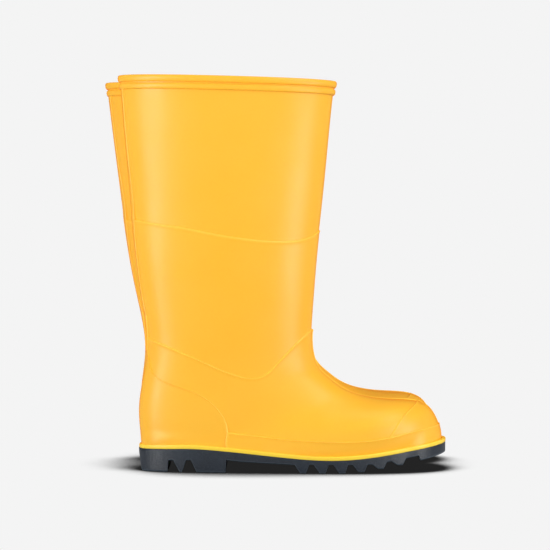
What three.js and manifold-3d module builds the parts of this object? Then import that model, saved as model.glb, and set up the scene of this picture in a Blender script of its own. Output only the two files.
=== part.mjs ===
// A pair of rubber deck boots, in millimetres. +X points to the toes, +Y to the wearer's left,
// +Z up. Each boot is one smooth foot-and-leg surface, cut into the panels it is laid up from.

import * as THREE from 'three';
import { mergeVertices } from 'three/addons/utils/BufferGeometryUtils.js';
import Module from 'manifold-3d';

const wasm = await Module();
wasm.setup();

// ---- Driving dimensions ----

const BOOT_SPACING = 101; // from the middle of one boot to the middle of the other
const GAP = 0.3; // left between two neighbouring pieces
const WALL = 2.4; // rubber of the plain leg
const LEFT_LEG_LEAN = 18; // how far the left leg leans back at its rim
const LEAN_FROM = 32; // height it leans from, at x = 0
const LEAN_RISE = 0.4; // and how much higher that is for each step forward
const LEAN_CURVE = 0.62; // 1 leans along a straight line, less leans most of all low down

// How far each panel stands out from the surface of the plain leg.
const STAND_OUT = {
  leg: 0,
  ankle_panel: 0.6,
  vamp: 1.0,
  back_stay: 1.2,
  toe_cap: 1.5,
  heel_counter: 1.8,
  foxing: 2.2,
};

const RIM_BACK = 342.3; // height of the rim at x = RIM_BACK_X, the back of the leg
const RIM_BACK_X = -18;
const RIM_SLOPE = -0.027; // fall of the rim towards the front
// The double bead of the rim: heights, and how far each part stands out.
const BEAD = { upper: 6, groove: 1.2, lower: 5.2, upperOut: 2.3, grooveOut: 0.5, lowerOut: 1.8 };
const BEAD_CORNER = 1; // bevel at the corners of the two beads
const BINDING_HEIGHT = BEAD.upper + BEAD.groove + BEAD.lower;
const COUNTER_TOP = 133.4; // where the back stay meets the heel counter

const WELT_HEIGHT = 3.6;
const WELT_OUT = { heel: 1.6, toe: 3.4 }; // beyond the foxing, at x = 0 and at x = FOOT_LENGTH
const FOOT_LENGTH = 265;
const SOLE_INSET = { heel: -0.2, toe: 0.3 }; // the outsole's side, in from the welt's edge
const PLAN_LIFT = 2; // the plan outlines are taken this far above the outsole's top

const BOARD = 3; // insole board, inside the welt
const SOCK = 1.2; // textile lining
const FOOTBED = 4; // loose insole
const SHANK = { from: 58, to: 152, width: 16, thickness: 1.6, bends: [80, 100, 125] };

const ROWS = 21; // rings from rim to toe
const AROUND = 20; // points in a ring
const SIDE_STEPS = 16; // steps along half of a plan outline
const SEARCH_STEPS = 30; // halvings when a place on a curve is searched for

// The surface of the plain leg and foot, as slices from the rim to under the toe. Each slice runs
// from a front point to a back point in the side view, [x, z]. half is its half width, widest is
// where it is widest, as a share of the way from back to front, shift moves it towards the wearer's
// other foot, and blunt squares its front and its back: 2 is an ellipse.
const SLICES = [
  { front: [172.4, 352], back: [-17.3, 352], half: 41, widest: 0.5, shift: 0, blunt: [2.2, 2.2] },
  { front: [167, 306], back: [-13.4, 306], half: 41, widest: 0.5, shift: 0, blunt: [2.2, 2.2] },
  { front: [161.4, 248], back: [-8.2, 248], half: 40.5, widest: 0.5, shift: 0, blunt: [2.2, 2.2] },
  { front: [155.8, 196], back: [-3.3, 196], half: 39, widest: 0.5, shift: 0, blunt: [2.2, 2.3] },
  { front: [152.3, 156], back: [2.1, 156], half: 36.5, widest: 0.49, shift: 0, blunt: [2.2, 2.4] },
  { front: [150, 124], back: [7.8, 120], half: 34.5, widest: 0.47, shift: 0, blunt: [2.2, 2.5] },
  { front: [150.2, 104], back: [8.1, 96], half: 33, widest: 0.44, shift: 0, blunt: [2.2, 2.6] },
  { front: [154.9, 89], back: [4.6, 76], half: 32.5, widest: 0.42, shift: 0, blunt: [2.2, 2.7] },
  { front: [163, 80.4], back: [1.7, 54], half: 33, widest: 0.42, shift: 0, blunt: [2.2, 2.8] },
  { front: [173, 72.5], back: [3, 32], half: 33, widest: 0.42, shift: -1, blunt: [2.2, 2.9] },
  { front: [184, 66.6], back: [9, 9], half: 33.5, widest: 0.45, shift: -2, blunt: [2.2, 3] },
  { front: [197, 63], back: [40, 0], half: 35.5, widest: 0.48, shift: -3, blunt: [2.2, 3.3] },
  { front: [211, 61], back: [110, -1], half: 40.5, widest: 0.45, shift: -3, blunt: [2.2, 3] },
  { front: [226, 60], back: [165, -0.5], half: 43.5, widest: 0.4, shift: -2, blunt: [2.3, 3] },
  { front: [239, 58.5], back: [198, 1.5], half: 42.5, widest: 0.36, shift: 1, blunt: [2.3, 3] },
  { front: [249.2, 54.6], back: [213, 4], half: 40.5, widest: 0.33, shift: 3, blunt: [2.2, 3] },
  { front: [256, 47], back: [219, 6], half: 39, widest: 0.3, shift: 4.5, blunt: [2.1, 3] },
  { front: [261, 35], back: [221, 9], half: 38.5, widest: 0.27, shift: 5, blunt: [2.1, 3] },
  { front: [262, 22], back: [220, 11], half: 38.5, widest: 0.25, shift: 5, blunt: [2.1, 3] },
];

// Seam lines in the side view, [x, z]. Each is a smooth curve through its points.
const LEG_SEAM = [
  [-14, 219.5], [11.4, 214.2], [41, 209.7], [76, 203], [105, 199.2],
  [126, 198.3], [141, 199.6], [151, 203.2], [158, 208.9], [166, 218.2],
];
const ANKLE_SEAM = [
  [4, 116.5], [28, 107.2], [52, 96.8], [72, 87.8], [88, 82.1],
  [98, 80.3], [106, 81.2], [113.5, 86], [122, 95.2], [139, 112.6], [160, 131],
];
const STAY_SEAM = [
  [-13.8, 347], [-10.8, 300.3], [-7.3, 265.5], [-3.6, 233.7], [0.1, 186], [4.6, 151.2], [8.6, 133.4],
];
const COUNTER_SEAM = [
  [8.6, 133.4], [9.8, 116], [10.2, 98], [14, 84.2], [22.8, 77.4], [34.5, 73.3],
  [50, 68], [61.7, 61.6], [71, 52.3], [77, 42.6], [78.8, 32], [78.8, 10],
];
const FOXING_SEAM = [
  [70, 35.4], [98.4, 32.1], [134.7, 28.2], [164, 26.9], [188.4, 27.2],
  [210, 29.1], [243, 35.8], [270, 39.8],
];
const TOE_SEAM = [[252, 66], [242, 58.8], [230.5, 50], [223, 41.4], [218.5, 34], [213, 24]];
const SOLE_TOP = [
  [-12, 18.4], [26, 19.4], [51, 19.6], [81, 17.4], [119.5, 13.6],
  [149.5, 11.1], [174, 10.8], [198.5, 12.7], [229, 17.2], [275, 25.7],
];

// The outsole's underside in the side view: the ground is z = 0.
const HEEL_BACK = { top: 0, line: [[3.2, 1.6], [4.6, 0]] }; // from x = top on the outsole's top
const HEEL_NOTCHES = [
  { top: [27.1, 31.4], bottom: [26.2, 36.8], depth: 10 },
  { top: [42.3, 46.6], bottom: [38.7, 51.5], depth: 10.4 },
];
const ARCH = [[76.2, 0], [76.9, 10.8], [88.6, 9.5], [112, 8.2], [134, 7.2]];
// Each lug has a flat tip, and reaches further back than forward at its root.
const LUGS = { first: 142.5, pitch: 16.6, count: 6, tipWidth: 4.8, rootBack: 7.4, rootFront: 5.2 };
const LUG_ROOT = 7.4; // least height of the tread between the lugs
const WEB = 5.4; // most rubber left above it
// The tread rises past a point: for a run d past it, by slope d + bend d^2.
const TOE_SPRING = { from: 184, slope: 0.135, bend: 0.0006 };
const TOE_BLOCK = { root: 241.7, tip: 243.2, middle: 255, end: 275 };

// Edges of the cutting shapes, outside anything they have to cut.
const FAR = { back: -100, front: 400, low: -60, high: 420 };
const TALL = 500;

const COLOURS = {
  yellow: { color: 0xf5ac25, roughness: 0.42, metalness: 0 },
  brightYellow: { color: 0xffc840, roughness: 0.38, metalness: 0 },
  navy: { color: 0x232c36, roughness: 0.6, metalness: 0 },
  textile: { color: 0xd8d3c4, roughness: 0.95, metalness: 0 },
  board: { color: 0x9a8a6c, roughness: 0.9, metalness: 0 },
  steel: { color: 0xa9adb2, roughness: 0.35, metalness: 1 },
  footbed: { color: 0x3a4350, roughness: 0.95, metalness: 0 },
};

// ---- Helpers: curves and solids ----

function curvePoints(points, steps = points.length) {
  const curve = new THREE.SplineCurve(points.map(([x, z]) => new THREE.Vector2(x, z)));
  return curve.getPoints(steps).map((p) => [p.x, p.y]);
}

const rimAt = (x) => RIM_BACK + RIM_SLOPE * (x - RIM_BACK_X);

function heightAt(points, x) {
  const after = Math.max(1, points.findIndex((p) => p[0] >= x));
  const [x0, z0] = points[after - 1];
  const [x1, z1] = points[after];
  return z0 + ((z1 - z0) * (x - x0)) / (x1 - x0);
}

function toSolid(geometry) {
  const plain = geometry.index ? geometry.clone() : geometry;
  plain.deleteAttribute('normal');
  plain.deleteAttribute('uv');
  const merged = mergeVertices(plain, 1e-4);
  return new wasm.Manifold(new wasm.Mesh({
    numProp: 3,
    vertProperties: new Float32Array(merged.attributes.position.array),
    triVerts: new Uint32Array(merged.index.array),
  }));
}

function toGeometry(solid) {
  const mesh = solid.getMesh();
  const geometry = new THREE.BufferGeometry();
  geometry.setAttribute('position', new THREE.BufferAttribute(new Float32Array(mesh.vertProperties), 3));
  geometry.setIndex(new THREE.BufferAttribute(new Uint32Array(mesh.triVerts), 1));
  geometry.computeVertexNormals();
  return geometry;
}

// A solid through rings of points, each ring the same way round. Looped rings join the last ring to
// the first, and others are closed by a flat cap at each end.
function loft(rings, looped) {
  const around = rings[0].length;
  const faces = [];
  const pairs = looped ? rings.length : rings.length - 1;
  for (let row = 0; row < pairs; row++) {
    const next = (row + 1) % rings.length;
    for (let i = 0; i < around; i++) {
      const j = (i + 1) % around;
      const [a, b, c, d] = [row * around + i, row * around + j, next * around + i, next * around + j];
      faces.push(a, c, b, b, c, d);
    }
  }
  const last = (rings.length - 1) * around;
  for (let i = 1; i < around - 1 && !looped; i++) faces.push(0, i, i + 1, last, last + i + 1, last + i);
  const geometry = new THREE.BufferGeometry();
  geometry.setAttribute('position', new THREE.BufferAttribute(new Float32Array(rings.flat(2)), 3));
  geometry.setIndex(faces);
  return toSolid(geometry);
}

// A solid that fills a side-view outline, from one side of the boot to the other.
function sideSolid(outline, width = TALL) {
  const shape = new THREE.Shape(outline.map(([x, z]) => new THREE.Vector2(x, z)));
  const geometry = new THREE.ExtrudeGeometry(shape, { depth: width, bevelEnabled: false });
  geometry.translate(0, 0, -width / 2);
  geometry.rotateX(Math.PI / 2);
  return toSolid(geometry);
}

// A tall solid that fills a plan outline, [x, y].
function planSolid(outline) {
  const shape = new THREE.Shape(outline.map(([x, y]) => new THREE.Vector2(x, y)));
  const geometry = new THREE.ExtrudeGeometry(shape, { depth: TALL, bevelEnabled: false });
  geometry.translate(0, 0, FAR.low);
  return toSolid(geometry);
}

// A line moved sideways, to its left as it runs, by the given distance.
function movedAside(line, distance) {
  return line.map(([x, z], i) => {
    const [ax, az] = line[Math.max(0, i - 1)];
    const [bx, bz] = line[Math.min(line.length - 1, i + 1)];
    const length = Math.hypot(bx - ax, bz - az);
    return [x - ((bz - az) / length) * distance, z + ((bx - ax) / length) * distance];
  });
}

// ---- One boot's surface ----

// side is -1 for the right boot and 1 for the left, and lean is how far its rim leans back.
function makeBoot(side, lean) {
  const leaned = ([x, z]) => {
    const start = LEAN_FROM + LEAN_RISE * x;
    const share = THREE.MathUtils.clamp((z - start) / (RIM_BACK - start), 0, 1.2);
    return [x - lean * share ** LEAN_CURVE, z];
  };
  const sideLine = (points, steps) => curvePoints(points.map(leaned), steps);
  const column = (pick) => new THREE.SplineCurve(SLICES.map((s) => new THREE.Vector2(...pick(s))));
  const fronts = column((s) => leaned(s.front));
  const backs = column((s) => leaned(s.back));
  const widths = column((s) => [s.half, s.widest]);
  const blunts = column((s) => s.blunt);
  const shifts = column((s) => [s.shift, 0]);

  const sliceAt = (u) => ({
    front: fronts.getPoint(u),
    back: backs.getPoint(u),
    half: widths.getPoint(u).x,
    widest: widths.getPoint(u).y,
    bluntFront: blunts.getPoint(u).x,
    bluntBack: blunts.getPoint(u).y,
    shift: -side * shifts.getPoint(u).x,
  });

  // The point of a slice at an angle from its front, moved outwards by offset.
  function surfacePoint(slice, angle, offset) {
    const along = slice.front.clone().sub(slice.back);
    const length = along.length();
    along.divideScalar(length);
    const [c, s] = [Math.cos(angle), Math.sin(angle)];
    const blunt = c > 0 ? slice.bluntFront : slice.bluntBack;
    const reach = (c > 0 ? 1 - slice.widest : slice.widest) * length + offset;
    const forward = slice.widest * length + Math.sign(c) * reach * Math.abs(c) ** (2 / blunt);
    const y = (slice.half + offset) * Math.sign(s) * Math.abs(s) ** (2 / blunt);
    return [slice.back.x + along.x * forward, slice.shift + y, slice.back.y + along.y * forward];
  }

  const ring = (slice, offset) =>
    Array.from({ length: AROUND }, (_, i) => surfacePoint(slice, (i * 2 * Math.PI) / AROUND, offset));

  // The whole foot and leg as one solid, with its surface moved outwards by offset.
  function bodySolid(offset) {
    const rings = Array.from({ length: ROWS + 1 }, (_, row) => ring(sliceAt(row / ROWS), offset));
    return loft(rings, false);
  }

  // The slice that lies in the slanted plane of the rim, a given drop below it.
  function rimSlice(drop) {
    const crossing = (line) => {
      let [low, high] = [0, 0.2]; // the rim lies in the first fifth of the slices
      for (let step = 0; step < SEARCH_STEPS; step++) {
        const u = (low + high) / 2;
        const point = line.getPoint(u);
        if (point.y > rimAt(point.x) - drop) low = u;
        else high = u;
      }
      return line.getPoint(low);
    };
    return { ...sliceAt(0), front: crossing(fronts), back: crossing(backs) };
  }

  // Two rounded beads with a groove between them, round the top of the leg.
  function bindingSolid() {
    const { upper, groove, upperOut, grooveOut, lowerOut } = BEAD;
    const lowerTop = upper + groove;
    const bottom = BINDING_HEIGHT;
    const corner = BEAD_CORNER;
    const profile = [
      [-WALL, 0],
      [upperOut - corner, 0], [upperOut, corner], [upperOut, upper - corner], [upperOut - corner, upper],
      [grooveOut, upper], [grooveOut, lowerTop], [lowerOut - corner, lowerTop],
      [lowerOut, lowerTop + corner], [lowerOut, bottom - corner], [lowerOut - corner, bottom],
      [-WALL, bottom],
    ];
    return loft(profile.map(([offset, drop]) => ring(rimSlice(drop), offset)), true);
  }

  // Half the breadth of the surface at a point of the side view, or null outside it.
  function breadthAt(x, z, offset) {
    let [low, high] = [0, 1];
    for (let step = 0; step < SEARCH_STEPS; step++) {
      const middle = (low + high) / 2;
      const { front, back } = sliceAt(middle);
      const turn = (front.x - back.x) * (z - back.y) - (front.y - back.y) * (x - back.x);
      if (turn < 0) low = middle;
      else high = middle;
    }
    const slice = sliceAt(low);
    const along = slice.front.clone().sub(slice.back);
    const length = along.length();
    const fromBack = ((x - slice.back.x) * along.x + (z - slice.back.y) * along.y) / length;
    const forward = fromBack - slice.widest * length;
    const reach = (forward > 0 ? 1 - slice.widest : slice.widest) * length + offset;
    const blunt = forward > 0 ? slice.bluntFront : slice.bluntBack;
    const share = Math.abs(forward) / reach;
    if (share >= 1) return null;
    return { half: (slice.half + offset) * (1 - share ** blunt) ** (1 / blunt), shift: slice.shift };
  }

  return { sideLine, bodySolid, bindingSolid, breadthAt };
}

// ---- Sole outlines ----

const lifted = (line, lift) => line.map(([x, z]) => [x, z + lift]);

function treadHeight(x) {
  const run = Math.max(0, x - TOE_SPRING.from);
  return TOE_SPRING.slope * run + TOE_SPRING.bend * run * run;
}

// The outsole from the side: its top line, then its underside from the toe back to the heel.
function outsoleOutline(top) {
  const under = [[HEEL_BACK.top, heightAt(top, HEEL_BACK.top)], ...HEEL_BACK.line];
  for (const { top: roof, bottom, depth } of HEEL_NOTCHES) {
    under.push([bottom[0], 0], [roof[0], depth], [roof[1], depth], [bottom[1], 0]);
  }
  under.push(...ARCH);
  const rootAt = (x) => [x, Math.max(LUG_ROOT, heightAt(top, x) - WEB)];
  for (let i = 0; i < LUGS.count; i++) {
    const middle = LUGS.first + i * LUGS.pitch;
    const tip = treadHeight(middle);
    under.push(rootAt(middle - LUGS.rootBack), [middle - LUGS.tipWidth / 2, tip]);
    under.push([middle + LUGS.tipWidth / 2, tip], rootAt(middle + LUGS.rootFront));
  }
  const { root, tip, middle, end } = TOE_BLOCK;
  under.push(rootAt(root), ...[tip, middle, end].map((x) => [x, treadHeight(x)]));
  return [...under, ...top.filter(([x]) => x > HEEL_BACK.top).reverse()];
}

// The boot's outline from above, just over the outsole, moved outwards by offsetAt(x).
function planOutline(boot, offsetAt) {
  const breadth = (x) => boot.breadthAt(x, heightAt(SOLE_TOP, x) + PLAN_LIFT, offsetAt(x));
  const edge = (inside, outside) => {
    for (let step = 0; step < SEARCH_STEPS; step++) {
      const middle = (inside + outside) / 2;
      if (breadth(middle)) inside = middle;
      else outside = middle;
    }
    return inside;
  };
  const [firstX, lastX] = [SOLE_TOP[0][0], SOLE_TOP[SOLE_TOP.length - 1][0]];
  const inside = FOOT_LENGTH / 2;
  const [back, front] = [edge(inside, firstX), edge(inside, lastX)];
  const stations = Array.from({ length: SIDE_STEPS + 1 }, (_, i) => {
    const x = back + ((front - back) * (1 - Math.cos((i * Math.PI) / SIDE_STEPS))) / 2;
    return { x, ...breadth(x) };
  });
  const right = stations.map(({ x, half, shift }) => [x, shift - half]);
  const left = stations.slice(1, -1).reverse().map(({ x, half, shift }) => [x, shift + half]);
  return [...right, ...left];
}

// ---- Cuts ----

// Everything under a line that runs from back to front.
function under(line) {
  const [first, last] = [line[0], line[line.length - 1]];
  return sideSolid([
    ...line, [FAR.front, last[1]], [FAR.front, FAR.low], [FAR.back, FAR.low], [FAR.back, first[1]],
  ]);
}

// Everything to one side, FAR.back or FAR.front, of a line that runs downwards.
function beside(line, side) {
  const [first, last] = [line[0], line[line.length - 1]];
  return sideSolid([
    ...line, [last[0], FAR.low], [side, FAR.low], [side, FAR.high], [first[0], FAR.high],
  ]);
}

// ---- The pieces of one boot ----

function bootPieces(boot) {
  const legSeam = boot.sideLine(LEG_SEAM);
  const ankleSeam = boot.sideLine(ANKLE_SEAM);
  const counterSeam = [...boot.sideLine(STAY_SEAM, 8), ...boot.sideLine(COUNTER_SEAM).slice(1)];
  const foxingSeam = boot.sideLine(FOXING_SEAM);
  const toeSeam = boot.sideLine(TOE_SEAM);
  const soleTop = boot.sideLine(SOLE_TOP, SOLE_TOP.length - 1);

  const belowLegSeam = under(movedAside(legSeam, GAP));
  const belowAnkleSeam = under(movedAside(ankleSeam, GAP));
  const belowFoxingSeam = under(movedAside(foxingSeam, GAP));
  const aheadOfToeSeam = beside(movedAside(toeSeam, -GAP), FAR.front);
  const behindCounterSeam = (grow) => beside(movedAside(counterSeam, grow), FAR.back);
  const upperBottom = under(lifted(soleTop, WELT_HEIGHT + GAP));

  const belowRim = (drop) => under([FAR.back, FAR.front].map((x) => [x, rimAt(x) - drop]));
  const belowLevel = (z) => under([[FAR.back, z], [FAR.front, z]]);
  const belowBinding = belowRim(BINDING_HEIGHT + GAP);

  const inside = boot.bodySolid(-WALL);
  const base = boot.bodySolid(0);
  const wall = (name) => boot.bodySolid(STAND_OUT[name]).subtract(inside);

  // A panel of the wall that runs on, thinner, under the back stay and the heel counter.
  const underlaid = (name) => wall(name).subtract(behindCounterSeam(GAP).subtract(base));

  // A strip laid over the wall behind the counter seam.
  function overlay(name) {
    const laidOn = boot.bodySolid(GAP);
    return boot.bodySolid(STAND_OUT[name]).subtract(laidOn).intersect(behindCounterSeam(0));
  }

  // Where the vamp gives way to the foxing, ahead of the heel counter.
  const foxingCut = belowFoxingSeam.subtract(behindCounterSeam(GAP / 2));

  const alongFoot = ({ heel, toe }, x) => heel + ((toe - heel) * x) / FOOT_LENGTH;
  const weltOut = (x) => STAND_OUT.foxing + alongFoot(WELT_OUT, x);
  const weltPlan = planSolid(planOutline(boot, weltOut));
  const solePlan = planSolid(planOutline(boot, (x) => weltOut(x) - alongFoot(SOLE_INSET, x)));
  const wallPlan = planSolid(planOutline(boot, () => -WALL));
  const boardPlan = planSolid(planOutline(boot, () => -WALL - GAP));
  const layer = (from, to) => under(lifted(soleTop, to)).subtract(under(lifted(soleTop, from)));

  function outsole() {
    const depth = SHANK.thickness + 2 * GAP;
    const pocket = sideSolid(shankOutline(BOARD, depth, GAP), SHANK.width + 2 * GAP);
    return sideSolid(outsoleOutline(soleTop)).intersect(solePlan).subtract(pocket);
  }

  // The shank's outline, which follows the top of the outsole: above and below are from that line.
  function shankOutline(above, below, margin) {
    const xs = [SHANK.from - margin, ...SHANK.bends, SHANK.to + margin];
    const line = xs.map((x) => [x, heightAt(soleTop, x)]);
    return [...lifted(line, above), ...lifted(line, -below).reverse()];
  }

  const boardTop = GAP + BOARD;
  const sockBottom = WELT_HEIGHT + GAP;
  const sockTop = sockBottom + SOCK;

  function lining() {
    const outer = boot.bodySolid(-WALL - GAP).subtract(under(lifted(soleTop, sockBottom)));
    const hollow = boot.bodySolid(-WALL - GAP - SOCK).subtract(under(lifted(soleTop, sockTop)));
    return outer.intersect(belowRim(BEAD.upper / 2)).subtract(hollow);
  }

  function insole() {
    const room = boot.bodySolid(-WALL - 2 * GAP - SOCK);
    return room.intersect(layer(sockTop + GAP, sockTop + GAP + FOOTBED));
  }

  return {
    top_binding: [boot.bindingSolid(), COLOURS.yellow],
    leg: [wall('leg').intersect(belowBinding).subtract(belowLegSeam), COLOURS.yellow],
    ankle_panel: [
      underlaid('ankle_panel').intersect(under(legSeam)).subtract(belowAnkleSeam),
      COLOURS.yellow,
    ],
    back_stay: [
      overlay('back_stay').intersect(belowBinding).subtract(belowLevel(COUNTER_TOP + GAP)),
      COLOURS.yellow,
    ],
    heel_counter: [
      overlay('heel_counter').intersect(belowLevel(COUNTER_TOP)).subtract(upperBottom),
      COLOURS.yellow,
    ],
    vamp: [
      underlaid('vamp').intersect(under(ankleSeam)).subtract(foxingCut).subtract(aheadOfToeSeam)
        .subtract(upperBottom),
      COLOURS.yellow,
    ],
    toe_cap: [
      wall('toe_cap').intersect(beside(toeSeam, FAR.front)).subtract(belowFoxingSeam),
      COLOURS.yellow,
    ],
    foxing: [
      wall('foxing').intersect(under(foxingSeam)).subtract(behindCounterSeam(2 * GAP))
        .subtract(upperBottom),
      COLOURS.yellow,
    ],
    welt: [weltPlan.subtract(wallPlan).intersect(layer(GAP, WELT_HEIGHT)), COLOURS.brightYellow],
    outsole: [outsole(), COLOURS.navy],
    insole_board: [boardPlan.intersect(layer(GAP, boardTop)), COLOURS.board],
    shank: [sideSolid(shankOutline(-GAP, SHANK.thickness + GAP, 0), SHANK.width), COLOURS.steel],
    lining: [lining(), COLOURS.textile],
    insole: [insole(), COLOURS.footbed],
  };
}

function bootGroup(name, side, lean) {
  const group = new THREE.Group();
  for (const [piece, [solid, look]] of Object.entries(bootPieces(makeBoot(side, lean)))) {
    const mesh = new THREE.Mesh(toGeometry(solid), new THREE.MeshStandardMaterial(look));
    mesh.name = `${name}_${piece}`;
    group.add(mesh);
  }
  group.position.y = (side * BOOT_SPACING) / 2;
  return group;
}

// ---- The pair, with the origin on the ground under the middle of its box ----

const pair = new THREE.Group();
pair.add(bootGroup('right', -1, 0));
pair.add(bootGroup('left', 1, LEFT_LEG_LEAN));
const box = new THREE.Box3().setFromObject(pair);
const middle = box.getCenter(new THREE.Vector3());
pair.position.set(-middle.x, -middle.y, -box.min.z);

export default pair;
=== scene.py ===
"""The looks of a pair of rubber deck boots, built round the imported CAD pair.

Shapes are worked out in millimetres in one boot's own side view (x to the toe, z up, x = 0 near the
back of the heel) and moved into the frame when a mesh is made.
"""

import math

import bpy
import numpy as np
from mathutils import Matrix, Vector


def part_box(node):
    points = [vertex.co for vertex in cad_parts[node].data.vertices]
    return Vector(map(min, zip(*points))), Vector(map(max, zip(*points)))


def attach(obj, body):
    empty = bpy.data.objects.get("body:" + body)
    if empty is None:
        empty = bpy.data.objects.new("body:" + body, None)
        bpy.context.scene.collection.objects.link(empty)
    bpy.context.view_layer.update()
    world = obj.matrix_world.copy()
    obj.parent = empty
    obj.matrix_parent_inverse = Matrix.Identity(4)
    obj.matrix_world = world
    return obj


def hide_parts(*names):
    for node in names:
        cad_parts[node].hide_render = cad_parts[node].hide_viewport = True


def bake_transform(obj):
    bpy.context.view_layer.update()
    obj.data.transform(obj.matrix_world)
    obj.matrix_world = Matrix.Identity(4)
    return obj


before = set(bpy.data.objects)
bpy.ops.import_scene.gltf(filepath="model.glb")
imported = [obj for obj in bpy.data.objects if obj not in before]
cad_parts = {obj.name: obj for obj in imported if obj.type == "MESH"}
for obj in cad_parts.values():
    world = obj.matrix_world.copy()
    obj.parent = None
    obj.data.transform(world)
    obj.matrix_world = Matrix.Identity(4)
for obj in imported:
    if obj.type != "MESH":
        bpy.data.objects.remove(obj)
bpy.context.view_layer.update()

# ---- Driving dimensions, in millimetres ----

MM = 0.001
SHANK_START = 58.0  # the shank's near end in the boot's own side view: it places the boot in the frame
LEFT_LEG_LEAN = 18.0  # how far the left leg leans back at its rim
LEAN_FROM = 32.0  # height it leans from, at x = 0
LEAN_RISE = 0.4  # and how much higher that is for each millimetre forward
LEAN_CURVE = 0.62  # 1 leans along a straight line, less leans most of all low down
RIM_BACK = 342.3  # height of the rim at x = RIM_BACK_X, the back of the leg
RIM_BACK_X = -18.0
RIM_SLOPE = -0.027
WALL = 2.4
EDGE_ROUND = 0.8  # radius of a panel's visible edge
TUCK = 5.0  # how far a panel runs on under the one laid over it
PANEL_BED = 0.5  # how far a patch reaches into what it lies on
FOOT_TUCK = 1.2  # how far the lowest panels run down behind the welt
RIM_TUCK = 8.0  # how far below the rim the leg ends, under the binding

# How far each panel stands out from the plain leg and foot.
STAND_OUT = {
    "leg": 0.0,
    "ankle_panel": 0.6,
    "vamp": 1.0,
    "back_stay": 1.2,
    "toe_cap": 1.6,
    "heel_counter": 1.8,
    "foxing": 2.3,
}
WELT_HEIGHT = 3.6
WELT_DEPTH = 3.0  # from its outer face to its hidden inner one
WELT_ROUND = 0.9
WELT_CLEAR = 0.1  # its lower edge is this far above the outsole's top
FOOT_LENGTH = 265.0
WELT_OUT = (1.6, 3.4)  # beyond the foxing, at x = 0 and at x = FOOT_LENGTH
SOLE_INSET = (-0.2, 0.3)  # the outsole's side, in from the welt's edge
SOLE_JOIN = 0.4  # the outsole's top, up behind the welt's lower edge
SOLE_ROUND, TREAD_ROUND = 1.0, 0.45  # radius of its lower side edge, and of the tread's corners
PLAN_LIFT = 2.0  # the plan outlines are taken this far above the outsole's top
COUNTER_TOP = 133.4
STAY_TOP_DROP = 9.0  # how far below the rim's back the stay ends, under the binding
BACK_THICK = 0.75  # of the stay and the counter
FOXING_START = 77.6  # x at its ends, beside the heel counter
TOE_SEAM_FOOT = 26.0  # height at which the toe cap's seam goes behind the foxing
TOE_SINK = 0.2  # the cap's underside, below the vamp's face
BEADS = [(2.3, 3.0, 3.0), (1.9, 9.7, 2.6)]  # the binding's: how far out, drop of the middle, half height
BINDING_DEPTH = 12.3
LINING_GAP, LINING_THICK = 0.1, 1.2  # clear of the rubber
LINING_DROP, LINING_ROWS = 1.2, 130  # its edge is this far below the rim
INSOLE_GAP, INSOLE_ROUND = 1.5, 0.8  # clear of the rubber, and the radius of its lower edge
INSOLE_FOOT, INSOLE_PLAN, INSOLE_TOP = 5.0, 7.0, 9.2  # heights above the outsole's top

# Each piece's material, and the body it moves with. A piece with no body, one that runs between the
# foot and the leg, is tied to neither.
PIECES = {
    "leg": ("upper_rubber", "leg"),
    "ankle_panel": ("upper_rubber", None),
    "vamp": ("upper_rubber", "foot"),
    "back_stay": ("upper_rubber", None),
    "heel_counter": ("upper_rubber", "foot"),
    "toe_cap": ("upper_rubber", "foot"),
    "foxing": ("upper_rubber", "foot"),
    "top_binding": ("upper_rubber", "leg"),
    "welt": ("welt_rubber", "foot"),
    "outsole": ("sole_rubber", "foot"),
    "lining": ("lining_textile", None),
    "insole": ("footbed_foam", "foot"),
}

# Slices of the plain leg and foot, from the rim to under the toe: front x, z, back x, z, half width,
# where it is widest as a share from back to front, sideways shift, and how blunt the front and the
# back are (2 is an ellipse).
SLICES = np.array(
    [
        (172.4, 352, -17.3, 352, 41, 0.5, 0, 2.2, 2.2),
        (167, 306, -13.4, 306, 41, 0.5, 0, 2.2, 2.2),
        (161.4, 248, -8.2, 248, 40.5, 0.5, 0, 2.2, 2.2),
        (155.8, 196, -3.3, 196, 39, 0.5, 0, 2.2, 2.3),
        (152.3, 156, 2.1, 156, 36.5, 0.49, 0, 2.2, 2.4),
        (150, 124, 7.8, 120, 34.5, 0.47, 0, 2.2, 2.5),
        (150.2, 104, 8.1, 96, 33, 0.44, 0, 2.2, 2.6),
        (154.9, 89, 4.6, 76, 32.5, 0.42, 0, 2.2, 2.7),
        (163, 80.4, 1.7, 54, 33, 0.42, 0, 2.2, 2.8),
        (173, 72.5, 3, 32, 33, 0.42, -1, 2.2, 2.9),
        (184, 66.6, 9, 9, 33.5, 0.45, -2, 2.2, 3),
        (197, 63, 40, 0, 35.5, 0.48, -3, 2.2, 3.3),
        (211, 61, 110, -1, 40.5, 0.45, -3, 2.2, 3),
        (226, 60, 165, -0.5, 43.5, 0.4, -2, 2.3, 3),
        (239, 58.5, 198, 1.5, 42.5, 0.36, 1, 2.3, 3),
        (249.2, 54.6, 213, 4, 40.5, 0.33, 3, 2.2, 3),
        (256, 47, 219, 6, 39, 0.3, 4.5, 2.1, 3),
        (261, 35, 221, 9, 38.5, 0.27, 5, 2.1, 3),
        (262, 22, 220, 11, 38.5, 0.25, 5, 2.1, 3),
    ]
)

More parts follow.
